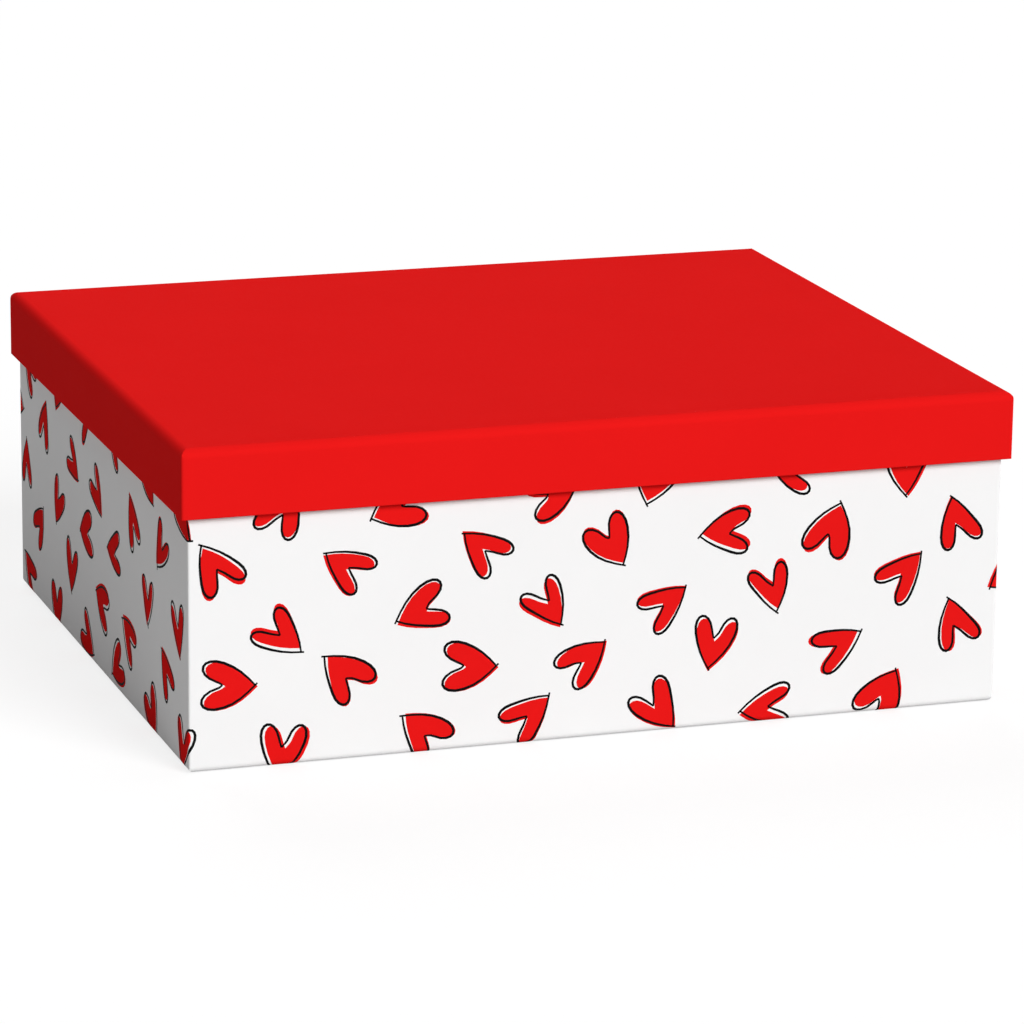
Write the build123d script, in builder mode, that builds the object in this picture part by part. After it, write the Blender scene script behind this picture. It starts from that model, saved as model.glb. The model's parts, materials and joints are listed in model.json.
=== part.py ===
from build123d import *
import os

# A rigid gift box of folded greyboard, covered in paper, with a lid that lifts straight off.
# The frame has +Z up, the width along X and the front on -Y. Its origin is on the table,
# under the middle of the base. All sizes are in millimetres.

# Outside sizes of the covered box
BASE_WIDTH = 304.8
BASE_DEPTH = 254.0
BOX_HEIGHT = 117.5
LID_SKIRT = 25.0

# Materials
BOARD = 2.0
COVER = 0.2
LINING = 0.2
BOTTOM_PAPER = 0.2
STAY_TAPE = 0.15

# Fit of the lid over the base, on each side
LID_CLEARANCE = 0.5

# Outer radii of the covered folds and of the crisper upright corners
BASE_FOLD_RADIUS = 2.4
BASE_CORNER_RADIUS = 0.8
LID_FOLD_RADIUS = 3.4
LID_CORNER_RADIUS = 1.0

# Cover paper: how far it goes past the rim, under the bottom and over its own end
BASE_TURN_IN = 20.0
BASE_TURN_UNDER = 18.0
COVER_LAP = 15.0
LAP_FROM_CORNER = 5.0
MITRE_GAP = 0.4

# Plain papers
BOTTOM_SHEET_INSET = 4.0
LINING_GAP = 0.3

# Board corners and the tape that holds them
CORNER_SLIT = 0.3
STAY_LEG = 14.0
STAY_END_GAP = 3.0

# Heights, from the table up
cover_under = BOTTOM_PAPER
base_board_under = cover_under + COVER
floor_top = base_board_under + BOARD
floor_lining_top = floor_top + LINING
lid_board_top = BOX_HEIGHT - COVER
lid_board_under = lid_board_top - BOARD
lid_lining_under = lid_board_under - LINING
base_rim = lid_lining_under
base_board_rim = base_rim - COVER
base_turn_in_low = base_rim - BASE_TURN_IN
lid_rim = BOX_HEIGHT - LID_SKIRT
lid_board_rim = lid_rim + COVER
lid_turn_in_high = lid_lining_under - LINING_GAP

# Plan sizes, as (width, depth)
base_outside = (BASE_WIDTH, BASE_DEPTH)


def grown(plan, margin):
    """The plan size with a margin added on every side."""
    return (plan[0] + 2 * margin, plan[1] + 2 * margin)


base_board_outside = grown(base_outside, -COVER)
base_board_inside = grown(base_board_outside, -BOARD)
base_mouth = grown(base_board_inside, -COVER)
base_lining_inside = grown(base_board_inside, -LINING)
lid_mouth = grown(base_outside, LID_CLEARANCE)
lid_board_inside = grown(lid_mouth, COVER)
lid_board_outside = grown(lid_board_inside, BOARD)
lid_outside = grown(lid_board_outside, COVER)

# Radii of the board under the cover
base_board_fold = BASE_FOLD_RADIUS - COVER
base_board_corner = BASE_CORNER_RADIUS - COVER
lid_board_fold = LID_FOLD_RADIUS - COVER
lid_board_corner = LID_CORNER_RADIUS - COVER

CORNERS = {
    "front_left": (-1, -1),
    "front_right": (1, -1),
    "back_left": (-1, 1),
    "back_right": (1, 1),
}


def folded_block(plan, low, high, corner_radius, fold_radius, closed_end):
    """A block with rounded upright corners and folds round its closed end, 0 the lower and -1 the upper."""
    with BuildPart() as block:
        with BuildSketch(Plane.XY.offset(low)):
            RectangleRounded(*plan, corner_radius)
        extrude(amount=high - low)
        for plane, across, through in ((Plane.XZ, *plan), (Plane.YZ, *plan[::-1])):
            with BuildSketch(plane) as section:
                with Locations((0, (low + high) / 2)):
                    Rectangle(across, high - low)
                fillet(section.vertices().group_by(Axis.Y)[closed_end], fold_radius)
            extrude(amount=through, both=True, mode=Mode.INTERSECT)
    return block.part


def corner_stay(plan, radius, low, high, corner):
    """One strip of gummed tape, folded round an upright board corner and pressed in flush."""
    inner = grown(plan, -STAY_TAPE)
    leg_middle = (corner[0] * (plan[0] - STAY_LEG) / 2, corner[1] * (plan[1] - STAY_LEG) / 2)
    with BuildPart() as stay:
        with BuildSketch(Plane.XY.offset(low)):
            RectangleRounded(*plan, radius)
            RectangleRounded(*inner, radius - STAY_TAPE, mode=Mode.SUBTRACT)
            with Locations(leg_middle):
                Rectangle(STAY_LEG, STAY_LEG, mode=Mode.INTERSECT)
        extrude(amount=high - low)
    return stay.part


def mitre_slits(inner, outer):
    """Diagonal slits between neighbouring flaps, from the corners of one plan size to those of another."""
    reach = (outer[0] - inner[0]) / 2
    length = reach * 2**0.5 + MITRE_GAP
    for x_side, y_side in CORNERS.values():
        corner = (x_side * outer[0] / 2, y_side * outer[1] / 2)
        slant = 45 * x_side * y_side + (0 if x_side > 0 else 180)
        with Locations(Location(corner, slant)):
            Rectangle(length, MITRE_GAP, align=(Align.MAX, Align.CENTER))


def wall_joints(inside):
    """Narrow slits that part the side walls from the front and back walls, which run the full width."""
    for x_side, y_side in CORNERS.values():
        with Locations((x_side * (inside[0] + BOARD) / 2, y_side * (inside[1] - CORNER_SLIT) / 2)):
            Rectangle(BOARD, CORNER_SLIT)


# Board and cover envelopes of the base and of the lid
base_cover_block = folded_block(base_outside, cover_under, base_rim, BASE_CORNER_RADIUS, BASE_FOLD_RADIUS, 0)
base_board_block = folded_block(
    base_board_outside, base_board_under, base_board_rim, base_board_corner, base_board_fold, 0
)
lid_cover_block = folded_block(lid_outside, lid_rim, BOX_HEIGHT, LID_CORNER_RADIUS, LID_FOLD_RADIUS, -1)
lid_board_block = folded_block(
    lid_board_outside, lid_board_rim, lid_board_top, lid_board_corner, lid_board_fold, -1
)

# Corner tapes, each ending at the fold and a little short of the rim
base_stays = {
    name: corner_stay(
        base_board_outside,
        base_board_corner,
        base_board_under + base_board_fold,
        base_board_rim - STAY_END_GAP,
        corner,
    )
    for name, corner in CORNERS.items()
}
lid_stays = {
    name: corner_stay(
        lid_board_outside,
        lid_board_corner,
        lid_board_rim + STAY_END_GAP,
        lid_board_top - lid_board_fold,
        corner,
    )
    for name, corner in CORNERS.items()
}


# Base board: bottom and four walls from one folded blank
with BuildPart() as base_board:
    add(base_board_block)
    with BuildSketch(Plane.XY.offset(floor_top)):
        Rectangle(*base_board_inside)
        wall_joints(base_board_inside)
    extrude(amount=base_board_rim - floor_top, mode=Mode.SUBTRACT)
    add(base_stays.values(), mode=Mode.SUBTRACT)

# Base cover: walls, turn-under, rim and turn-in of one printed strip, lapped on the back
with BuildPart() as base_cover:
    add(base_cover_block)
    add(base_board_block, mode=Mode.SUBTRACT)
    with BuildSketch(Plane.XY.offset(base_board_rim)):
        Rectangle(*base_mouth)
    extrude(amount=COVER, mode=Mode.SUBTRACT)
    turn_under_inside = grown(base_outside, -BASE_TURN_UNDER)
    with BuildSketch(Plane.XY.offset(cover_under)):
        Rectangle(*turn_under_inside)
        mitre_slits(turn_under_inside, grown(base_outside, -BASE_FOLD_RADIUS - MITRE_GAP))
    extrude(amount=COVER, mode=Mode.SUBTRACT)
    with BuildSketch(Plane.XY.offset(base_turn_in_low)):
        Rectangle(*base_board_inside)
        Rectangle(*base_mouth, mode=Mode.SUBTRACT)
    extrude(amount=base_board_rim - base_turn_in_low)
    with BuildSketch(Plane.XY.offset(base_turn_in_low)):
        mitre_slits(base_mouth, base_board_inside)
    extrude(amount=BASE_TURN_IN, mode=Mode.SUBTRACT)
    lap_middle = BASE_WIDTH / 2 - LAP_FROM_CORNER - COVER_LAP / 2
    with BuildSketch(Plane.XY.offset(cover_under + BASE_FOLD_RADIUS)):
        with Locations((lap_middle, (BASE_DEPTH + COVER) / 2)):
            Rectangle(COVER_LAP, COVER)
    extrude(amount=base_rim - cover_under - BASE_FOLD_RADIUS)

# Plain papers of the base
with BuildPart() as base_bottom_sheet:
    with BuildSketch():
        Rectangle(*grown(base_outside, -BOTTOM_SHEET_INSET))
    extrude(amount=BOTTOM_PAPER)

with BuildPart() as base_floor_lining:
    with BuildSketch(Plane.XY.offset(floor_top)):
        Rectangle(*base_board_inside)
    extrude(amount=LINING)

with BuildPart() as base_wall_lining:
    with BuildSketch(Plane.XY.offset(floor_lining_top)):
        Rectangle(*base_board_inside)
        Rectangle(*base_lining_inside, mode=Mode.SUBTRACT)
    extrude(amount=base_turn_in_low - LINING_GAP - floor_lining_top)

# Lid board: top and four skirt walls from one folded blank
with BuildPart() as lid_board:
    add(lid_board_block)
    with BuildSketch(Plane.XY.offset(lid_board_rim)):
        Rectangle(*lid_board_inside)
        wall_joints(lid_board_inside)
    extrude(amount=lid_board_under - lid_board_rim, mode=Mode.SUBTRACT)
    add(lid_stays.values(), mode=Mode.SUBTRACT)

# Lid cover: top, skirt, rim and turn-in of one red sheet
with BuildPart() as lid_cover:
    add(lid_cover_block)
    add(lid_board_block, mode=Mode.SUBTRACT)
    with BuildSketch(Plane.XY.offset(lid_rim)):
        Rectangle(*lid_mouth)
    extrude(amount=COVER, mode=Mode.SUBTRACT)
    with BuildSketch(Plane.XY.offset(lid_board_rim)):
        Rectangle(*lid_board_inside)
        Rectangle(*lid_mouth, mode=Mode.SUBTRACT)
    extrude(amount=lid_turn_in_high - lid_board_rim)
    with BuildSketch(Plane.XY.offset(lid_rim)):
        mitre_slits(lid_mouth, lid_board_inside)
    extrude(amount=lid_turn_in_high - lid_rim, mode=Mode.SUBTRACT)

# Lid lining, which is what the base's rim meets
with BuildPart() as lid_lining:
    with BuildSketch(Plane.XY.offset(lid_lining_under)):
        Rectangle(*lid_board_inside)
    extrude(amount=LINING)

pieces = {
    "base_board": base_board.part,
    "base_cover": base_cover.part,
    "base_bottom_sheet": base_bottom_sheet.part,
    "base_floor_lining": base_floor_lining.part,
    "base_wall_lining": base_wall_lining.part,
    "lid_board": lid_board.part,
    "lid_cover": lid_cover.part,
    "lid_lining": lid_lining.part,
}
pieces |= {f"base_stay_{name}": stay for name, stay in base_stays.items()}
pieces |= {f"lid_stay_{name}": stay for name, stay in lid_stays.items()}

os.makedirs("parts", exist_ok=True)
for name, piece in pieces.items():
    piece.label = name
    export_step(piece, f"parts/{name}.step")
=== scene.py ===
import json
import math

import bmesh
import bpy
from mathutils import Matrix, Vector

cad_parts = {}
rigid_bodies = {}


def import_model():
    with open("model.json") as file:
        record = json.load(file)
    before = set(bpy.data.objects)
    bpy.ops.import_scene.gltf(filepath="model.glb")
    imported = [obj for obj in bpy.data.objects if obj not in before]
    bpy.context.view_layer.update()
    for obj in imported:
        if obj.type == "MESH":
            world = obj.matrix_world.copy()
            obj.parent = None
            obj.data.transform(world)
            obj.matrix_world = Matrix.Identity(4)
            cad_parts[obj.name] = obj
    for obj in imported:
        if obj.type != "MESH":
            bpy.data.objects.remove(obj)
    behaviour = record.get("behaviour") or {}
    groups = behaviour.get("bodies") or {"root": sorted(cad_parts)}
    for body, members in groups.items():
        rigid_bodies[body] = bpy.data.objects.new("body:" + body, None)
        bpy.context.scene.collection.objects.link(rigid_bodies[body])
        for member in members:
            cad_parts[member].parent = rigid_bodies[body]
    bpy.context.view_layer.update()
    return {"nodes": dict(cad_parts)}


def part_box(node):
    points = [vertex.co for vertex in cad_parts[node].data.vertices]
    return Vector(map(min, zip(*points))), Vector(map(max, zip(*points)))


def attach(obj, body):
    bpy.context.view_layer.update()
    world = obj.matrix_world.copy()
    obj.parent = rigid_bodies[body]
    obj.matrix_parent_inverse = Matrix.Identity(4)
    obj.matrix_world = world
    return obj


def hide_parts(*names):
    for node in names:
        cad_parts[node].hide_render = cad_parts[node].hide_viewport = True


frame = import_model()
scene = bpy.context.scene
cadNodes = frame["nodes"]
mm = 0.001
quarter = math.pi / 2  # a quarter turn
sameSpot = 1e-7  # metres: closer points are one
keyDigits = 7  # decimals of a metre by which places are looked up
slack = 1e-9  # metres: rounding left in sums of lengths
print("frame loaded with", len(cadNodes), "nodes")


# helpers for node trees

def addNode(tree, kind, **settings):
    node = tree.nodes.new(kind)
    for key, value in settings.items():
        setattr(node, key, value)
    return node


def openSocket(sockets, name):
    # some nodes have several sockets of one name, and only one of them in use
    return next(s for s in sockets if s.name == name and s.enabled)


def feed(tree, node, **inputs):
    # each input is a value to set or a socket to link, with _ for a space in its name
    for name, value in inputs.items():
        socket = openSocket(node.inputs, name.replace("_", " "))
        if isinstance(value, bpy.types.NodeSocket):
            tree.links.new(value, socket)
        else:
            socket.default_value = value
    return node


def result(node, name=None):
    return openSocket(node.outputs, name) if name else next(s for s in node.outputs if s.enabled)


def calc(tree, operation, *values):
    node = addNode(tree, "ShaderNodeMath", operation=operation)
    for socket, value in zip(node.inputs, values):
        if isinstance(value, bpy.types.NodeSocket):
            tree.links.new(value, socket)
        else:
            socket.default_value = value
    return node.outputs[0]


# paper surface: crossed fibres for the bump, flecks and soft mottling for the colour

paperGrain = {  # turns in radians
    "fibreTurns": (0.35, 1.75), "fibreTilt": (0.3, 0.2), "fibreStretch": (1.0, 0.22, 0.6),
    "fibreDetail": 4.0, "fibreRoughness": 0.62, "fleckDetail": 2.0, "mottleDetail": 3.0,
}
paperLook = {  # bumpDepth in millimetres
    "fibreScale": 900.0, "fleckScale": 2600.0, "mottleScale": 28.0, "fleckShare": 0.35,
    "toneEnds": (0.3, 0.7), "roughness": 0.7, "roughSpread": 0.06, "fibreEnds": (0.35, 0.75),
    "bump": 0.2, "bumpDepth": 0.05, "gloss": 0.05,
}


def makePaperGroup():
    tree = bpy.data.node_groups.new("paperSurface", "ShaderNodeTree")
    face = tree.interface
    face.new_socket("Vector", in_out="INPUT", socket_type="NodeSocketVector")
    for name in ("Fibre Scale", "Fleck Scale", "Mottle Scale", "Fleck Share"):
        face.new_socket(name, in_out="INPUT", socket_type="NodeSocketFloat")
    for name in ("Fibre", "Tone"):
        face.new_socket(name, in_out="OUTPUT", socket_type="NodeSocketFloat")
    entry, leave = addNode(tree, "NodeGroupInput"), addNode(tree, "NodeGroupOutput")
    where = result(entry, "Vector")
    tiltX, tiltY = paperGrain["fibreTilt"]
    layers = []
    for turn in paperGrain["fibreTurns"]:
        lay = addNode(tree, "ShaderNodeMapping")
        feed(tree, lay, Vector=where, Rotation=(tiltX * turn, tiltY * turn, turn),
             Scale=paperGrain["fibreStretch"])
        fibre = addNode(tree, "ShaderNodeTexNoise")
        feed(tree, fibre, Vector=result(lay), Scale=result(entry, "Fibre Scale"),
             Detail=paperGrain["fibreDetail"], Roughness=paperGrain["fibreRoughness"])
        layers.append(fibre.outputs["Fac"])
    fleck, mottle = addNode(tree, "ShaderNodeTexNoise"), addNode(tree, "ShaderNodeTexNoise")
    feed(tree, fleck, Vector=where, Scale=result(entry, "Fleck Scale"), Detail=paperGrain["fleckDetail"])
    feed(tree, mottle, Vector=where, Scale=result(entry, "Mottle Scale"), Detail=paperGrain["mottleDetail"])
    share = result(entry, "Fleck Share")
    rest = calc(tree, "MULTIPLY", mottle.outputs["Fac"], calc(tree, "SUBTRACT", 1.0, share))
    tree.links.new(calc(tree, "MAXIMUM", *layers), leave.inputs["Fibre"])
    tree.links.new(calc(tree, "MULTIPLY_ADD", fleck.outputs["Fac"], share, rest), leave.inputs["Tone"])
    return tree


paperSurface = makePaperGroup()


def paperMaterial(name, colour, shade, **changes):
    # colour and shade are the two ends of the paper's own slight variation
    look = paperLook | changes
    material = bpy.data.materials.new(name)
    material.use_nodes = True
    tree = material.node_tree
    shader = tree.nodes["Principled BSDF"]
    spot = addNode(tree, "ShaderNodeTexCoord")
    paper = addNode(tree, "ShaderNodeGroup", node_tree=paperSurface)
    feed(tree, paper, Vector=spot.outputs["Object"], Fibre_Scale=look["fibreScale"],
         Fleck_Scale=look["fleckScale"], Mottle_Scale=look["mottleScale"], Fleck_Share=look["fleckShare"])
    ramp = addNode(tree, "ShaderNodeValToRGB")
    low, high = ramp.color_ramp.elements
    low.position, high.position = look["toneEnds"]
    low.color, high.color = (*shade, 1), (*colour, 1)
    feed(tree, ramp, Fac=paper.outputs["Tone"])
    rough = addNode(tree, "ShaderNodeMapRange")
    leastFibre, mostFibre = look["fibreEnds"]
    feed(tree, rough, Value=paper.outputs["Fibre"], From_Min=leastFibre, From_Max=mostFibre,
         To_Min=look["roughness"] - look["roughSpread"], To_Max=look["roughness"] + look["roughSpread"])
    bump = addNode(tree, "ShaderNodeBump")
    feed(tree, bump, Strength=look["bump"], Distance=look["bumpDepth"] * mm, Height=paper.outputs["Fibre"])
    feed(tree, shader, Base_Color=ramp.outputs["Color"], Roughness=rough.outputs["Result"],
         Normal=bump.outputs["Normal"], Specular_IOR_Level=look["gloss"])
    return material


redPaper = paperMaterial("redPaper", (0.785, 0.0095, 0.0093), (0.765, 0.0088, 0.0086), gloss=0.004)
whitePrintPaper = paperMaterial("whitePrintPaper", (0.890, 0.890, 0.890), (0.875, 0.875, 0.875))
paperCore = paperMaterial("paperCore", (0.84, 0.83, 0.81), (0.78, 0.77, 0.75), roughness=0.85, fleckShare=0.6)
heartRed = paperMaterial("heartRed", (0.785, 0.0095, 0.0093), (0.760, 0.0088, 0.0086), gloss=0.004, bump=0.12)
penBlack = paperMaterial("penBlack", (0.0035, 0.0035, 0.0038), (0.0060, 0.0060, 0.0065), gloss=0.02, bump=0.1)
liningWhite = paperMaterial("liningWhite", (0.86, 0.855, 0.845), (0.82, 0.815, 0.805),
                            roughness=0.8, bump=0.35, fleckShare=0.5)
bottomWhite = paperMaterial("bottomWhite", (0.83, 0.825, 0.81), (0.77, 0.765, 0.75),
                            roughness=0.85, bump=0.4, fleckShare=0.6)
greyboard = paperMaterial("greyboard", (0.33, 0.315, 0.29), (0.20, 0.19, 0.175),
                          roughness=0.9, bump=0.7, bumpDepth=0.15, fleckShare=0.75, fleckScale=1500.0)
kraftTape = paperMaterial("kraftTape", (0.44, 0.27, 0.135), (0.34, 0.20, 0.095), bump=0.5, fleckShare=0.6)
print("paper finishes made")


# a box wall seen from above: sides and rounded corners, walked anticlockwise from a point on the back

def boxOutline(halfX, halfY, radius, startX):
    inX, inY = halfX - radius, halfY - radius
    runs, reach = [], 0.0
    turns = [
        ("side", (startX, halfY), (-inX, halfY), (0, 1)), ("corner", (-1, 1), quarter),
        ("side", (-halfX, inY), (-halfX, -inY), (-1, 0)), ("corner", (-1, -1), 2 * quarter),
        ("side", (-inX, -halfY), (inX, -halfY), (0, -1)), ("corner", (1, -1), 3 * quarter),
        ("side", (halfX, -inY), (halfX, inY), (1, 0)), ("corner", (1, 1), 0.0),
        ("side", (inX, halfY), (startX, halfY), (0, 1)),
    ]
    for kind, *shape in turns:
        if kind == "side":
            start, end, out = (Vector(v) for v in shape)
            step = end - start
            run = {"length": step.length, "start": start, "along": step.normalized(), "out": out}
        else:
            sign, angle = Vector(shape[0]), shape[1]
            centre = Vector((sign.x * inX, sign.y * inY))
            run = {"length": radius * quarter, "centre": centre, "along": Vector((0, 0)), "angle": angle}
        runs.append(run | {"kind": kind, "at": reach})
        reach += run["length"]
    return {"runs": runs, "length": reach, "half": Vector((halfX, halfY)), "radius": radius}


def placeOn(outline, run, s, inset, shrink, z, slit):
    # the point that is s along the outline drawn in by shrink, then held inset from the walls on both sides
    if run["kind"] == "side":
        spot = run["start"] + run["along"] * (s - run["at"]) - run["out"] * shrink
    else:
        turn = run["angle"] + (s - run["at"]) / outline["radius"]
        spot = run["centre"] + Vector((math.cos(turn), math.sin(turn))) * (outline["radius"] - shrink)
    for axis in (0, 1):
        limit = outline["half"][axis] - inset - shrink - slit * abs(run["along"][axis])
        spot[axis] = max(-limit, min(limit, spot[axis]))
    return Vector((spot.x, spot.y, z))


# a fold path seen in section: rows of points, each with the way that the paper faces there

def lineRows(zone, start, end, marks):
    start, end = Vector(start), Vector(end)
    step = end - start
    facing = Vector((step.y, step.x)).normalized()
    return [(zone, start + step * mark, facing) for mark in marks]


def bandedLine(zone, start, end, band, splits=1):
    # a straight stretch with a narrow band at each end, so that its middle shades flat
    share = band / (Vector(end) - Vector(start)).length
    middle = [share + (1 - 2 * share) * k / splits for k in range(splits + 1)]
    return lineRows(zone, start, end, [0.0, *middle, 1.0])


def arcRows(zone, centre, radius, start, end, splits):
    rows = []
    for k in range(splits + 1):
        turn = start + (end - start) * k / splits
        facing = Vector((math.cos(turn), math.sin(turn)))
        rows.append((zone, Vector((centre[0] - radius * facing.x, centre[1] + radius * facing.y)), facing))
    return rows


def foldPath(*stretches):
    path = []
    for zone, spot, facing in (row for rows in stretches for row in rows):
        step = (spot - path[-1]["spot"]).length if path else 0.0
        if path and step < sameSpot:
            path[-1]["zones"].add(zone)
            continue
        reach = path[-1]["t"] + step if path else 0.0
        path.append({"zones": {zone}, "spot": spot, "facing": facing, "t": reach})
    return path


def sharedZones(low, high):
    return low["zones"] & high["zones"]


def sheetSpots(outline, run, s, row, slit, depths):
    # points above and below the paper's outer face, at the given heights along its facing
    slit = slit if row["zones"] in ({"turnIn"}, {"under"}) else 0.0
    spots = []
    for depth in depths:
        z = row["spot"].y + row["facing"].y * depth
        spots.append(placeOn(outline, run, s, row["spot"].x, -row["facing"].x * depth, z, slit))
    return spots


def splitRun(run, cornerSplits, bands=(), sideStep=1.0):
    # places along a run, with narrow bands beside each corner so that flat walls shade flat
    start, end = run["at"], run["at"] + run["length"]
    if run["kind"] == "corner":
        return [start + run["length"] * k / cornerSplits for k in range(cornerSplits + 1)]
    *near, widest = [0.0] + [band for band in bands if band < run["length"] / 2]
    first, last = start + widest, end - widest
    steps = max(1, round((last - first) / sideStep))
    middle = [first + (last - first) * k / steps for k in range(steps + 1)]
    return [*(start + band for band in near), *middle, *(end - band for band in reversed(near))]


def sheetColumns(outline, cover):
    # the strips of a sheet between one place along the outline and the next
    bands = [cover[k] * mm for k in ("band", "cornerBand")]
    columns = []
    for run in outline["runs"]:
        marks = splitRun(run, cover["cornerSplits"], bands, cover["sideStep"] * mm)
        columns += [(run, a, b) for a, b in zip(marks, marks[1:])]
    return columns


def startSheet(outline, path, cover, lift, closed):
    # an empty sheet, its corners by place, and a function that lays a patch between two columns and two rows
    flat = bmesh.new()
    inner = flat.verts.layers.float_vector.new("inner")
    paper, slit, made = cover["paper"] * mm, cover["slit"] * mm, {}

    def cornerAt(run, s, rowIndex):
        atStart = closed and outline["length"] - s <= sameSpot  # a closed sheet ends where it began
        key = (0.0 if atStart else round(s, keyDigits), rowIndex)
        if key not in made:
            depths = (lift(s), lift(s) - paper)
            outerSpot, innerSpot = sheetSpots(outline, run, s, path[rowIndex], slit, depths)
            made[key] = flat.verts.new(outerSpot)
            made[key][inner] = innerSpot
        return made[key]

    def addPatch(run, a, b, rowIndex):
        places = ((a, rowIndex), (b, rowIndex), (b, rowIndex + 1), (a, rowIndex + 1))
        flat.faces.new([cornerAt(run, s, index) for s, index in places])

    return flat, inner, made, addPatch


creaseAngle = 20.0  # degrees: a sharper edge of a sheet is shaded as a crease


def thickSheet(name, flat, inner, materials):
    # closes a one-sided sheet with its inner side and its cut edges
    flat.verts.index_update()
    count = len(flat.verts)
    spots = [v.co[:] for v in flat.verts] + [v[inner][:] for v in flat.verts]
    faces, finish = [], []
    for face in flat.faces:
        loop = [v.index for v in face.verts]
        faces += [loop, [k + count for k in reversed(loop)]]
        finish += [0, len(materials) - 1]
    for edge in flat.edges:
        if len(edge.link_faces) == 1:
            loop = edge.link_loops[0]
            a, b = loop.vert.index, loop.link_loop_next.vert.index
            faces.append([b, a, a + count, b + count])
            finish.append(len(materials) - 1)
    mesh = bpy.data.meshes.new(name)
    mesh.from_pydata(spots, [], faces)
    for material in materials:
        mesh.materials.append(material)
    mesh.polygons.foreach_set("material_index", finish)
    mesh.polygons.foreach_set("use_smooth", [True] * len(faces))
    mesh.set_sharp_from_angle(angle=math.radians(creaseAngle))
    mesh.update()
    flat.free()
    sheet = bpy.data.objects.new(name, mesh)
    scene.collection.objects.link(sheet)
    return sheet


def mergeSheet(flat, distance):
    bmesh.ops.remove_doubles(flat, verts=flat.verts, dist=distance)
    bmesh.ops.dissolve_degenerate(flat, edges=flat.edges, dist=sameSpot)


# base cover: one printed strip round the walls, turned over the rim and under the bottom

baseCover = {  # sizes in millimetres
    "paper": 0.2, "fold": 2.4, "corner": 0.8, "rimEdge": 0.35, "turnIn": 20.0, "turnUnder": 18.0, "slit": 0.2,
    "lap": 15.0, "lapFromCorner": 5.0, "lapRamp": 1.0, "seamGap": 0.15,
    "foldSplits": 8, "cornerSplits": 6, "rimSplits": 6, "wallSplits": 4, "band": 0.5, "cornerBand": 2.6,
    "sideStep": 25.0, "weld": 0.001,
}
basePaper, baseLap = baseCover["paper"] * mm, baseCover["lap"] * mm
baseLow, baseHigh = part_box("base_cover")
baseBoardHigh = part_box("base_board")[1]
baseHalf = Vector((baseBoardHigh.x + basePaper, baseBoardHigh.y + basePaper))
baseWall = baseHalf.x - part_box("base_wall_lining")[1].x + basePaper
baseOutline = boxOutline(*baseHalf, baseCover["corner"] * mm, baseHalf.x - baseCover["lapFromCorner"] * mm)
lapRun = dict(baseOutline["runs"][0], at=baseOutline["length"])  # the lap lies on the strip's own start


def baseFoldPath():
    fold, edge, band = (baseCover[k] * mm for k in ("fold", "rimEdge", "band"))
    under, rim = baseLow.z, baseHigh.z
    bend, edgeBend = baseCover["foldSplits"], baseCover["rimSplits"]
    return foldPath(
        bandedLine("under", (baseCover["turnUnder"] * mm, under), (fold, under), band),
        arcRows("fold", (fold, under + fold), fold, -quarter, 0.0, bend),
        bandedLine("wall", (0.0, under + fold), (0.0, rim - edge), band, baseCover["wallSplits"]),
        arcRows("rim", (edge, rim - edge), edge, 0.0, quarter, edgeBend),
        lineRows("rim", (edge, rim), (baseWall - edge, rim), (0.0, 1.0)),
        arcRows("rim", (baseWall - edge, rim - edge), edge, quarter, 2 * quarter, edgeBend),
        bandedLine("turnIn", (baseWall, rim - edge), (baseWall, rim - baseCover["turnIn"] * mm), band),
    )


basePath = baseFoldPath()


def lapLift(s):
    # past its own start the strip lies one paper thickness further out
    ramp = (s - baseOutline["length"]) / (baseCover["lapRamp"] * mm)
    return basePaper * max(0.0, min(1.0, ramp))


def baseColumns():
    # the strip starts a little past the seam and ends in the lap
    (firstRun, _, firstEnd), *columns = sheetColumns(baseOutline, baseCover)
    length, ramp = baseOutline["length"], baseCover["lapRamp"] * mm
    marks = [length, length + ramp / 2, length + ramp, length + baseLap]
    lapColumns = [(lapRun, a, b) for a, b in zip(marks, marks[1:])]
    return [(firstRun, baseCover["seamGap"] * mm, firstEnd), *columns, *lapColumns]


def buildBaseCover():
    flat, inner, _, addPatch = startSheet(baseOutline, basePath, baseCover, lapLift, False)
    for run, a, b in baseColumns():
        for j in range(len(basePath) - 1):
            zones = sharedZones(basePath[j], basePath[j + 1])
            if run["kind"] == "corner" and zones & {"turnIn", "under"}:
                continue
            if a >= baseOutline["length"] - slack and "wall" not in zones:
                continue
            addPatch(run, a, b, j)
    mergeSheet(flat, baseCover["weld"] * mm)
    return thickSheet("base_printed_cover", flat, inner, [whitePrintPaper, paperCore])


basePrintedCover = buildBaseCover()
print("base cover folded:", len(basePrintedCover.data.polygons), "faces")


# lid cover: one red sheet over the top and the skirt, turned in round the rim

lidCover = {  # sizes in millimetres
    "paper": 0.2, "fold": 3.4, "corner": 1.0, "rimEdge": 0.4, "slit": 0.2, "turnInGap": 0.3,
    "foldSplits": 10, "cornerSplits": 6, "rimSplits": 6, "band": 0.6, "cornerBand": 3.0, "sideStep": 25.0,
    "weld": 0.002,
}
lidPaper = lidCover["paper"] * mm
lidLow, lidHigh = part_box("lid_cover")
lidLiningLow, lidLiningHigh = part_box("lid_lining")
lidWall = lidHigh.x - lidLiningHigh.x + lidPaper
lidOutline = boxOutline(lidHigh.x, lidHigh.y, lidCover["corner"] * mm, 0.0)


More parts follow.
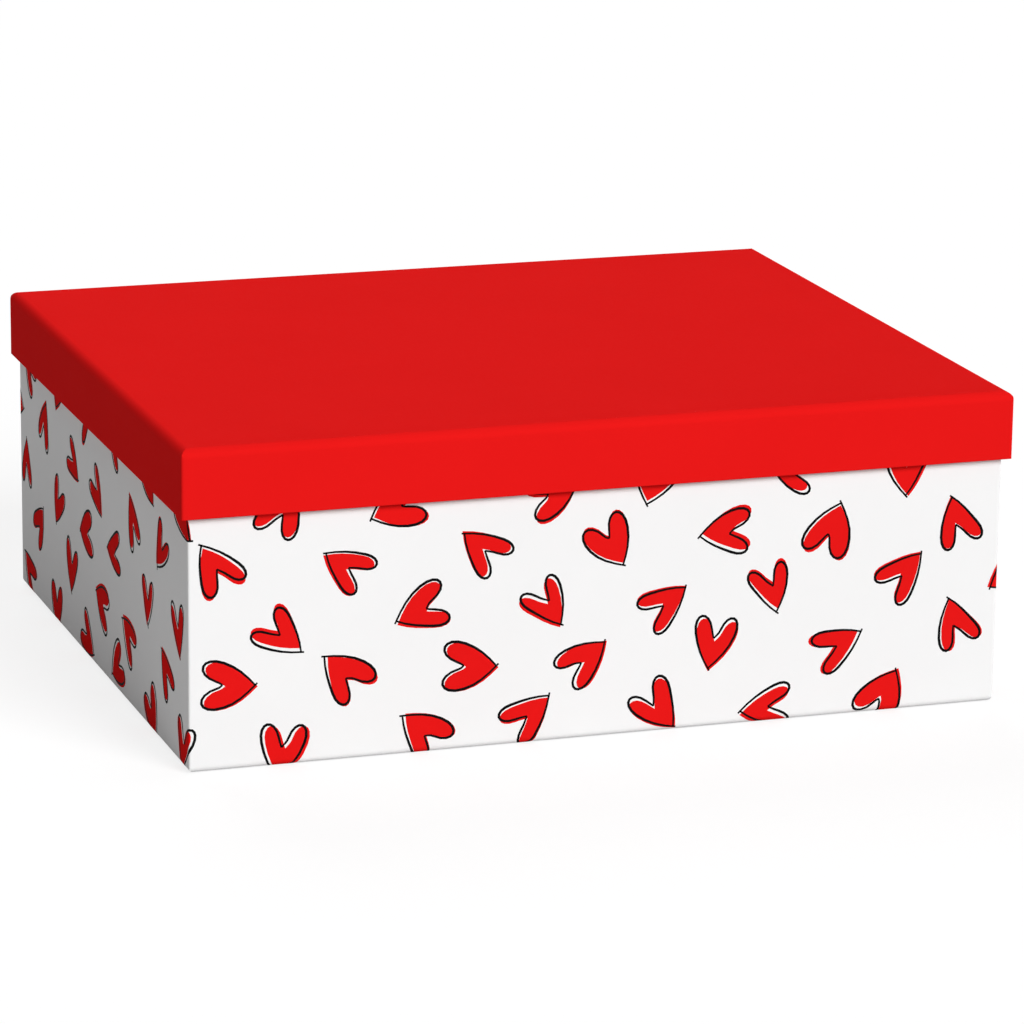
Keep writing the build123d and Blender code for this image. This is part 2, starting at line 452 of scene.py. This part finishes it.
def lidFoldPath():
    fold, edge, band = (lidCover[k] * mm for k in ("fold", "rimEdge", "band"))
    rim, top = lidLow.z, lidHigh.z
    turnInTop = lidLiningLow.z - lidCover["turnInGap"] * mm
    bend, edgeBend = lidCover["foldSplits"], lidCover["rimSplits"]
    return foldPath(
        bandedLine("turnIn", (lidWall, turnInTop), (lidWall, rim + edge), band),
        arcRows("rim", (lidWall - edge, rim + edge), edge, -2 * quarter, -quarter, edgeBend),
        lineRows("rim", (lidWall - edge, rim), (edge, rim), (0.0, 1.0)),
        arcRows("rim", (edge, rim + edge), edge, -quarter, 0.0, edgeBend),
        bandedLine("wall", (0.0, rim + edge), (0.0, top - fold), band),
        arcRows("fold", (fold, top - fold), fold, 0.0, quarter, bend),
    )


lidPath = lidFoldPath()


def lidLift(s):
    # the red sheet has no lap and lies close all the way round
    return 0.0


def buildLidCover():
    flat, inner, made, addPatch = startSheet(lidOutline, lidPath, lidCover, lidLift, True)
    weld = lidCover["weld"] * mm
    for run, a, b in sheetColumns(lidOutline, lidCover):
        for j in range(len(lidPath) - 1):
            if run["kind"] == "corner" and "turnIn" in sharedZones(lidPath[j], lidPath[j + 1]):
                continue
            addPatch(run, a, b, j)
    # the flat top is ruled from the places where the skirt's columns end
    top, inset = lidHigh.z, lidOutline["half"] - Vector((lidCover["fold"] * mm,) * 2)
    ends = [v.co for (_, rowIndex), v in made.items() if rowIndex == len(lidPath) - 1]
    xs = sorted({round(p.x, keyDigits) for p in ends if abs(abs(p.y) - inset.y) < weld})
    ys = sorted({round(p.y, keyDigits) for p in ends if abs(abs(p.x) - inset.x) < weld})
    grid = {}
    for x in xs:
        for y in ys:
            grid[x, y] = flat.verts.new((x, y, top))
            grid[x, y][inner] = (x, y, top - lidPaper)
    for x0, x1 in zip(xs, xs[1:]):
        for y0, y1 in zip(ys, ys[1:]):
            flat.faces.new([grid[x0, y0], grid[x1, y0], grid[x1, y1], grid[x0, y1]])
    mergeSheet(flat, weld)
    return thickSheet("lid_red_cover", flat, inner, [redPaper, paperCore])


lidRedCover = buildLidCover()
print("lid cover folded:", len(lidRedCover.data.polygons), "faces")


# heart shapes, in millimetres

heartShapes = [  # each lobe is the middle of its round end, that end's radius and its lean in degrees
    {"tip": (0.3, -10.9), "notch": (-0.5, 0.6), "left": (-5.0, 2.6, 3.2, 22), "right": (4.4, 3.6, 3.1, 10)},
    {"tip": (2.4, -10.4), "notch": (1.0, 0.0), "left": (-5.2, 1.7, 2.8, 40), "right": (4.0, 4.2, 2.7, 0)},
    {"tip": (-0.7, -10.2), "notch": (0.1, 1.7), "left": (-4.7, 2.4, 3.8, 14), "right": (4.7, 2.6, 3.6, 22)},
    {"tip": (-1.8, -10.7), "notch": (-0.7, 0.6), "left": (-4.1, 3.8, 3.1, 4), "right": (5.2, 1.9, 3.2, 36)},
    {"tip": (0.5, -11.0), "notch": (0.4, -0.3), "left": (-4.6, 3.3, 2.8, 20), "right": (5.2, 2.5, 2.9, 24)},
    {"tip": (-1.2, -10.6), "notch": (0.5, 0.9), "left": (-4.6, 3.2, 3.5, 10), "right": (5.0, 2.1, 3.0, 32)},
]
lobeForm = {
    "capHandle": 2.5, "flankBelly": 0.2, "flankHandle": 0.36, "slopeHandle": 0.42, "notchHandle": 0.25,
    "curveSteps": 4,
}
penStroke = {"width": 1.02, "thinEnd": 0.64, "swell": 0.5, "overshoot": {"left": 1.1, "right": 0.3}}


def lobePoints(shape, side):
    # bezier points of one lobe, from the tip to the notch, as (handle before, point, handle after)
    sign = -1 if side == "left" else 1
    x, y, radius, lean = shape[side]
    tip, notch, end = Vector(shape["tip"]), Vector(shape["notch"]), Vector((x, y))
    axis = Vector((sign * math.sin(math.radians(lean)), math.cos(math.radians(lean))))
    out = Vector((axis.y, -axis.x)) * sign
    shoulder, inside = end + out * radius, end - out * radius
    cap = axis * radius * lobeForm["capHandle"]
    outer, crown, inner = shoulder + cap / 2, end + cap, inside + cap / 2
    flank, slope = shoulder - tip, (inside - notch).length
    belly = Vector((flank.y, -flank.x)) * sign * lobeForm["flankBelly"]
    return [
        (tip, tip, tip + (flank + belly) * lobeForm["flankHandle"]),
        (shoulder - axis * flank.length * lobeForm["flankHandle"], shoulder, outer),
        ((outer + crown) / 2, (outer + 2 * crown + inner) / 4, (crown + inner) / 2),
        (inner, inside, inside - axis * slope * lobeForm["slopeHandle"]),
        (notch + (inside - notch) * lobeForm["notchHandle"], notch, notch),
    ]


def addBezier(curve, points, closed):
    spline = curve.splines.new("BEZIER")
    spline.bezier_points.add(len(points) - 1)
    for target, (before, spot, after) in zip(spline.bezier_points, points):
        target.handle_left_type = target.handle_right_type = "FREE"
        target.handle_left, target.co, target.handle_right = ((*p * mm, 0) for p in (before, spot, after))
    spline.use_cyclic_u = closed


def turnedRound(points):
    return [(after, spot, before) for before, spot, after in reversed(points)]


def fillSplines(curve, shape):
    left, right = lobePoints(shape, "left"), turnedRound(lobePoints(shape, "right"))
    notch = (left[-1][0], left[-1][1], right[0][2])
    tip = (right[-1][0], left[0][1], left[0][2])
    addBezier(curve, [tip, *left[1:-1], notch, *right[1:-1]], True)


def strokeSplines(curve, shape):
    # each lobe is one pull of the pen, from the notch to a little past the tip
    for side in ("left", "right"):
        points = turnedRound(lobePoints(shape, side))
        before, tip, _ = points[-1]
        past = tip + (tip - before).normalized() * penStroke["overshoot"][side]
        points[-1] = (before, past, past)
        addBezier(curve, points, False)


def heartCurves(name, makeSplines):
    group = bpy.data.collections.new(name)
    for index, shape in enumerate(heartShapes):
        curve = bpy.data.curves.new(f"{name}{index}", "CURVE")
        curve.dimensions = "2D"
        curve.fill_mode = "NONE"
        curve.resolution_u = lobeForm["curveSteps"]
        makeSplines(curve, shape)
        group.objects.link(bpy.data.objects.new(f"{name}{index}", curve))
    return group


# heart print: staggered rows of shapes on the flat strip, with the outline a little out of register

heartPrint = {  # sizes in millimetres, tilt in degrees
    "firstColumn": -9.5, "firstRow": -19.0, "columnStep": 46.0, "rowStep": 21.5, "jitter": 0.13, "seed": 42,
    "spareSteps": 2, "size": 0.98, "sizeSpread": 0.04, "shift": 1.2, "shiftSpread": (0.6, 1.3), "tilt": 3.0,
    "fillRise": 0.03, "strokeRise": 0.055, "sunk": 0.01, "underReach": 4.0,
    "cornerClear": {"fold": 1.0, "rim": 2.6, "turnIn": 2.6, "under": 2.6},
}


def makeHeartTree():
    tree = bpy.data.node_groups.new("tossedHearts", "GeometryNodeTree")
    face = tree.interface
    for name, kind in (
        ("Hearts", "Collection"), ("Shapes", "Int"), ("Columns", "Int"), ("Rows", "Int"),
        ("First Column", "Float"), ("First Row", "Float"), ("Column Step", "Float"), ("Row Step", "Float"),
        ("Jitter", "Float"), ("Seed", "Int"), ("Heart Size", "Float"), ("Size Spread", "Float"),
        ("Shift", "Float"), ("Tilt", "Float"), ("Pen Stroke", "Bool"), ("Pen Width", "Float"),
        ("Thin End", "Float"), ("Ink", "Material"),
    ):
        face.new_socket(name, in_out="INPUT", socket_type="NodeSocket" + kind)
    face.new_socket("Geometry", in_out="OUTPUT", socket_type="NodeSocketGeometry")
    entry, leave = addNode(tree, "NodeGroupInput"), addNode(tree, "NodeGroupOutput")
    given = entry.outputs
    # each random draw has its own step past the seed
    draws = {"turn": 1, "size": 2, "shape": 3, "tilt": 4, "heading": 5, "slip": 6, "sideways": 7, "upward": 8}

    def chance(kind, low, high, draw):
        node = addNode(tree, "FunctionNodeRandomValue", data_type=kind)
        seed = calc(tree, "ADD", given["Seed"], draws[draw])
        return result(feed(tree, node, Min=low, Max=high, Seed=seed))

    def vector(**parts):
        return result(feed(tree, addNode(tree, "ShaderNodeCombineXYZ"), **parts))

    def stray(step, draw):
        reach = calc(tree, "MULTIPLY", given["Jitter"], step)
        return chance("FLOAT", calc(tree, "MULTIPLY", reach, -1.0), reach, draw)

    # rows and columns, every other row half a step along, each heart a little off its place
    wide, tall = (calc(tree, "MULTIPLY", calc(tree, "SUBTRACT", given[count], 1.0), given[step])
                  for count, step in (("Columns", "Column Step"), ("Rows", "Row Step")))
    lattice = addNode(tree, "GeometryNodeMeshGrid")
    feed(tree, lattice, Size_X=wide, Size_Y=tall, Vertices_X=given["Columns"], Vertices_Y=given["Rows"])
    spot = addNode(tree, "ShaderNodeSeparateXYZ")
    feed(tree, spot, Vector=result(addNode(tree, "GeometryNodeInputPosition")))
    fromLeft, fromFoot = (calc(tree, "MULTIPLY_ADD", size, 0.5, given[first])
                          for size, first in ((wide, "First Column"), (tall, "First Row")))
    row = calc(tree, "DIVIDE", calc(tree, "MULTIPLY_ADD", tall, 0.5, spot.outputs["Y"]), given["Row Step"])
    odd = calc(tree, "MODULO", calc(tree, "ROUND", row), 2.0)
    stagger = calc(tree, "MULTIPLY", calc(tree, "MULTIPLY", odd, 0.5), given["Column Step"])
    sideways = calc(tree, "ADD", stagger, stray(given["Column Step"], "sideways"))
    upward = stray(given["Row Step"], "upward")
    tossed = addNode(tree, "GeometryNodeSetPosition")
    feed(tree, tossed, Geometry=result(lattice, "Mesh"), Offset=vector(
        X=calc(tree, "ADD", fromLeft, sideways), Y=calc(tree, "ADD", fromFoot, upward)))
    shapes = addNode(tree, "GeometryNodeCollectionInfo")
    feed(tree, shapes, Collection=given["Hearts"], Separate_Children=True, Reset_Children=True)
    ends = (calc(tree, sign, 1.0, given["Size Spread"]) for sign in ("SUBTRACT", "ADD"))
    smallest, largest = (calc(tree, "MULTIPLY", given["Heart Size"], end) for end in ends)
    place = addNode(tree, "GeometryNodeInstanceOnPoints")
    feed(tree, place, Points=result(tossed), Instance=result(shapes), Pick_Instance=True,
         Instance_Index=chance("INT", 0, calc(tree, "SUBTRACT", given["Shapes"], 1.0), "shape"),
         Rotation=vector(Z=chance("FLOAT", 0.0, 4 * quarter, "turn")),
         Scale=chance("FLOAT", smallest, largest, "size"))
    # out of register: a small turn and a small slip, both zero for the fill
    backTilt = calc(tree, "MULTIPLY", given["Tilt"], -1.0)
    turned = vector(Z=chance("FLOAT", backTilt, given["Tilt"], "tilt"))
    tilted = addNode(tree, "GeometryNodeRotateInstances")
    feed(tree, tilted, Instances=result(place), Rotation=turned, Local_Space=True)
    heading = chance("FLOAT", 0.0, 4 * quarter, "heading")
    amount = calc(tree, "MULTIPLY", given["Shift"], chance("FLOAT", *heartPrint["shiftSpread"], "slip"))
    slip = vector(X=calc(tree, "MULTIPLY", amount, calc(tree, "COSINE", heading)),
                  Y=calc(tree, "MULTIPLY", amount, calc(tree, "SINE", heading)))
    slipped = addNode(tree, "GeometryNodeTranslateInstances")
    feed(tree, slipped, Instances=result(tilted), Translation=slip, Local_Space=False)
    filled = addNode(tree, "GeometryNodeFillCurve", mode="TRIANGLES")
    feed(tree, filled, Curve=result(slipped))
    # pen pressure: full along the lobe, lighter at both ends
    along = addNode(tree, "GeometryNodeSplineParameter")
    arch = calc(tree, "SINE", calc(tree, "MULTIPLY", along.outputs["Factor"], 2 * quarter))
    swell = calc(tree, "POWER", arch, penStroke["swell"])
    gain = calc(tree, "SUBTRACT", 1.0, given["Thin End"])
    press = calc(tree, "MULTIPLY_ADD", swell, gain, given["Thin End"])
    upright = addNode(tree, "GeometryNodeSetCurveNormal", mode="Z_UP")
    feed(tree, upright, Curve=result(slipped))
    nib = addNode(tree, "GeometryNodeCurvePrimitiveLine")
    feed(tree, nib, Start=vector(X=calc(tree, "MULTIPLY", given["Pen Width"], -0.5)),
         End=vector(X=calc(tree, "MULTIPLY", given["Pen Width"], 0.5)))
    inked = addNode(tree, "GeometryNodeCurveToMesh")
    feed(tree, inked, Curve=result(upright), Profile_Curve=result(nib), Scale=press)
    choice = addNode(tree, "GeometryNodeSwitch", input_type="GEOMETRY")
    for name, source in (("Switch", given["Pen Stroke"]), ("False", result(filled)), ("True", result(inked))):
        tree.links.new(source, choice.inputs[name])
    real = addNode(tree, "GeometryNodeRealizeInstances")
    feed(tree, real, Geometry=result(choice))
    coat = addNode(tree, "GeometryNodeSetMaterial")
    feed(tree, coat, Geometry=result(real), Material=given["Ink"])
    tree.links.new(result(coat), leave.inputs["Geometry"])
    return tree


tossedHearts = makeHeartTree()


def flatHearts(name, makeSplines, ink, stroke):
    # the printed strip laid flat: x is the way round the box, y the way along the fold path
    places = ("firstColumn", "firstRow", "columnStep", "rowStep")
    firstColumn, firstRow, columnStep, rowStep = (heartPrint[k] * mm for k in places)
    strip = bpy.data.objects.new(name, bpy.data.meshes.new(name))
    scene.collection.objects.link(strip)
    hearts = heartCurves(name, makeSplines)
    spare = heartPrint["spareSteps"]
    values = {
        "Hearts": hearts, "Shapes": len(heartShapes),
        "Columns": math.ceil((baseOutline["length"] + baseLap - firstColumn) / columnStep) + spare,
        "Rows": math.ceil((basePath[-1]["t"] - firstRow) / rowStep) + spare,
        "First Column": firstColumn, "First Row": firstRow, "Column Step": columnStep, "Row Step": rowStep,
        "Jitter": heartPrint["jitter"], "Seed": heartPrint["seed"], "Heart Size": heartPrint["size"],
        "Size Spread": heartPrint["sizeSpread"],
        "Shift": heartPrint["shift"] * mm if stroke else 0.0,
        "Tilt": math.radians(heartPrint["tilt"]) if stroke else 0.0,
        "Pen Stroke": stroke, "Pen Width": penStroke["width"] * mm, "Thin End": penStroke["thinEnd"],
        "Ink": ink,
    }
    modifier = strip.modifiers.new("tossed", "NODES")
    modifier.node_group = tossedHearts
    for item in tossedHearts.interface.items_tree:
        if item.in_out == "INPUT" and item.name in values:
            modifier[item.identifier] = values[item.name]
    bpy.context.view_layer.update()
    printed = bpy.data.meshes.new_from_object(strip.evaluated_get(bpy.context.evaluated_depsgraph_get()))
    for heart in list(hearts.objects):
        bpy.data.objects.remove(heart)
    bpy.data.collections.remove(hearts)
    bpy.data.objects.remove(strip)
    flat = bmesh.new()
    flat.from_mesh(printed)
    bpy.data.meshes.remove(printed)
    return flat


def cutAcross(flat, direction, value, clear=0):
    # clear drops what lies before the cut for -1 and after it for 1
    everything = flat.verts[:] + flat.edges[:] + flat.faces[:]
    bmesh.ops.bisect_plane(flat, geom=everything, dist=sameSpot,
                           plane_co=direction * value, plane_no=direction,
                           clear_inner=clear < 0, clear_outer=clear > 0)


def rowAt(t):
    # the fold path at a distance along it
    steps = zip(basePath, basePath[1:])
    low, high = next(((a, b) for a, b in steps if t <= b["t"] + slack), basePath[-2:])
    share = (t - low["t"]) / (high["t"] - low["t"])
    facing = low["facing"].lerp(high["facing"], share).normalized()
    return {"zones": sharedZones(low, high), "spot": low["spot"].lerp(high["spot"], share), "facing": facing}


def runAt(s):
    # the side, corner or lap at a distance round the box
    inside = (run for run in baseOutline["runs"] if s <= run["at"] + run["length"] + slack)
    return next(inside, lapRun)


def foldPrint(name, flat, ink, rise):
    # cuts the flat print along every crease, then folds it round the box as a thin film
    around, upward = Vector((1, 0, 0)), Vector((0, 1, 0))
    length, ramp, slit = baseOutline["length"], baseCover["lapRamp"] * mm, baseCover["slit"] * mm
    clearances = {zone: clear * mm for zone, clear in heartPrint["cornerClear"].items()}
    cutAcross(flat, around, baseCover["seamGap"] * mm, -1)
    cutAcross(flat, around, length + baseLap, 1)
    cutAcross(flat, upward, (baseCover["turnUnder"] - heartPrint["underReach"]) * mm, -1)
    cutAcross(flat, upward, basePath[-1]["t"], 1)
    for row in basePath[1:-1]:
        cutAcross(flat, upward, row["t"])
    corners = [run for run in baseOutline["runs"] if run["kind"] == "corner"]
    for run in corners:
        for s in splitRun(run, baseCover["cornerSplits"]):
            cutAcross(flat, around, s)
        for clear in set(clearances.values()):
            cutAcross(flat, around, run["at"] - clear)
            cutAcross(flat, around, run["at"] + run["length"] + clear)
    for s in (baseLap, length, length + ramp / 2, length + ramp):
        cutAcross(flat, around, s)

    def dropped(middle):
        zones = rowAt(middle.y)["zones"]
        for clear in (clearances[zone] for zone in zones & set(clearances)):
            if any(run["at"] - clear < middle.x < run["at"] + run["length"] + clear for run in corners):
                return True
        return middle.x < baseLap if "wall" in zones else middle.x > length

    hidden = [face for face in flat.faces if dropped(face.calc_center_median())]
    bmesh.ops.delete(flat, geom=hidden, context="FACES")
    mergeSheet(flat, sameSpot)
    for face in flat.faces:
        if face.normal.z < 0:
            face.normal_flip()
    inner = flat.verts.layers.float_vector.new("inner")
    for corner in flat.verts:
        s, t = corner.co.x, corner.co.y
        depths = (lapLift(s) + rise * mm, lapLift(s) - heartPrint["sunk"] * mm)
        corner.co, corner[inner] = sheetSpots(baseOutline, runAt(s), s, rowAt(t), slit, depths)
    return thickSheet(name, flat, inner, [ink])


fillStrip = flatHearts("heartFill", fillSplines, heartRed, False)
heartFillPrint = foldPrint("heart_fill_print", fillStrip, heartRed, heartPrint["fillRise"])
strokeStrip = flatHearts("heartStroke", strokeSplines, penBlack, True)
heartLinePrint = foldPrint("heart_line_print", strokeStrip, penBlack, heartPrint["strokeRise"])
fillFaces, lineFaces = (len(film.data.polygons) for film in (heartFillPrint, heartLinePrint))
print("hearts printed:", fillFaces, "fill and", lineFaces, "line faces")


# finishes of the CAD pieces that stay

nodeFinish = {
    "base_board": greyboard, "lid_board": greyboard, "base_bottom_sheet": bottomWhite,
    "base_floor_lining": liningWhite, "base_wall_lining": liningWhite, "lid_lining": liningWhite,
}
for name, node in cadNodes.items():
    finish = nodeFinish.get(name, kraftTape if "_stay_" in name else None)
    if finish:
        node.data.materials.clear()
        node.data.materials.append(finish)


# pieces ride on the CAD bodies

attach(basePrintedCover, "base")
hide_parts("base_cover")
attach(lidRedCover, "lid")
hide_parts("lid_cover")
for printed in (heartFillPrint, heartLinePrint):
    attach(printed, "base")
print("pieces set on their bodies")


# floor, light and camera

studio = {  # floorSize in metres, floorDrop in millimetres, angles in degrees
    "floorSize": 40.0, "floorDrop": 0.02, "floorColour": 0.56, "floorWhite": 1.15, "floorGlow": 0.8,
    "ambient": 0.22,
    "lamps": {
        "softKey": {"from": (0.34, -0.82, 0.54), "angle": 30.0, "strength": 2.782},
        "softBack": {"from": (0.0, 1.0, 1.0), "angle": 30.0, "strength": 0.889},
    },
}
shot = {  # angles in degrees, places in metres, lens and sensor in millimetres
    "azimuth": -18.655, "elevation": 15.077, "roll": 0.680, "distance": 1.89681,
    "lens": 176.43, "sensor": 36.0,
    "aim": (0.0, 0.0, 0.05875), "aimRight": 0.007767, "aimUp": -0.007838,
}


def shownDirectly(tree):
    # 1 for what the camera, a gloss or a glass sees, 0 for light that the floor or the sky gives
    path = addNode(tree, "ShaderNodeLightPath").outputs
    return calc(tree, "MAXIMUM", path["Is Camera Ray"],
                calc(tree, "MAXIMUM", path["Is Glossy Ray"], path["Is Transmission Ray"]))


def makeFloor():
    mesh = bpy.data.meshes.new("studio_floor")
    half, low = studio["floorSize"] / 2, -studio["floorDrop"] * mm
    corners = [(x * half, y * half, low) for x, y in ((-1, -1), (1, -1), (1, 1), (-1, 1))]
    mesh.from_pydata(corners, [], [(0, 1, 2, 3)])
    floor = bpy.data.objects.new("studio_floor", mesh)
    scene.collection.objects.link(floor)
    material = bpy.data.materials.new("floorPaper")
    material.use_nodes = True
    tree = material.node_tree
    tree.nodes.clear()
    shown = shownDirectly(tree)
    # seen directly it is white, part glow and part lit, so the shadow on it stays soft
    tint, glow = addNode(tree, "ShaderNodeMapRange"), addNode(tree, "ShaderNodeEmission")
    litWhite = studio["floorWhite"] * (1 - studio["floorGlow"])
    feed(tree, tint, Value=shown, To_Min=studio["floorColour"], To_Max=litWhite)
    feed(tree, glow, Strength=calc(tree, "MULTIPLY", shown, studio["floorGlow"]))
    matte = feed(tree, addNode(tree, "ShaderNodeBsdfDiffuse"), Color=tint.outputs["Result"])
    both, leave = addNode(tree, "ShaderNodeAddShader"), addNode(tree, "ShaderNodeOutputMaterial")
    tree.links.new(matte.outputs["BSDF"], both.inputs[0])
    tree.links.new(glow.outputs["Emission"], both.inputs[1])
    tree.links.new(both.outputs["Shader"], leave.inputs["Surface"])
    mesh.materials.append(material)


def makeWorld():
    world = bpy.data.worlds.new("studio")
    scene.world = world
    world.use_nodes = True
    tree = world.node_tree
    strength = addNode(tree, "ShaderNodeMapRange")
    feed(tree, strength, Value=shownDirectly(tree), To_Min=studio["ambient"], To_Max=1.0)
    feed(tree, tree.nodes["Background"], Color=(1, 1, 1, 1), Strength=strength.outputs["Result"])


def makeLamps():
    for name, plan in studio["lamps"].items():
        lamp = bpy.data.lights.new(name, "SUN")
        lamp.energy = plan["strength"]
        lamp.angle = math.radians(plan["angle"])
        holder = bpy.data.objects.new(name, lamp)
        holder.location = plan["from"]
        holder.rotation_euler = Vector(plan["from"]).to_track_quat("Z", "Y").to_euler()
        scene.collection.objects.link(holder)


def makeCamera():
    azimuth, elevation, roll = (math.radians(shot[k]) for k in ("azimuth", "elevation", "roll"))
    level = math.cos(elevation)
    back = Vector((math.sin(azimuth) * level, -math.cos(azimuth) * level, math.sin(elevation)))
    right = Vector((0, 0, 1)).cross(back).normalized()
    up = back.cross(right)
    aim = Vector(shot["aim"]) + right * shot["aimRight"] + up * shot["aimUp"]
    lens = bpy.data.cameras.new("shot")
    lens.lens = shot["lens"]
    lens.sensor_width = shot["sensor"]
    camera = bpy.data.objects.new("shot", lens)
    camera.location = aim + back * shot["distance"]
    upright = Matrix((right, up, back)).transposed()
    camera.rotation_euler = (upright @ Matrix.Rotation(roll, 3, "Z")).to_euler()
    scene.collection.objects.link(camera)
    scene.camera = camera


makeFloor()
makeWorld()
makeLamps()
makeCamera()
scene.view_settings.view_transform = "Standard"
print("studio ready")
